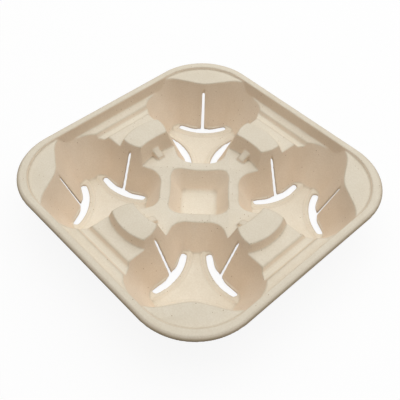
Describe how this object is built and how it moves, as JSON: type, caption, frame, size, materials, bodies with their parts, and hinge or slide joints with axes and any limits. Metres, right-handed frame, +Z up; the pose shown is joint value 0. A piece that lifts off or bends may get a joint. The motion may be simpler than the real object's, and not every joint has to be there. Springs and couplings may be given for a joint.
{
  "type": "moulded fibre cup carrier",
  "caption": "Shallow square tray pressed from paper pulp, with lobed cup wells at its corners, slots and slits that let the walls flex, and a square pocket in the middle.",
  "frame": {"origin": "below the middle of the tray, on the plane of the undersides of the cup wells", "axes": "+Z up, out of the wells; +X and +Y square to two neighbouring sides of the tray"},
  "size_m": [0.215, 0.215, 0.0415],
  "materials": {
    "fibre": "matt"
  },
  "bodies": {
    "root": {"cup_carrier": "fibre"}
  },
  "joints": []
}
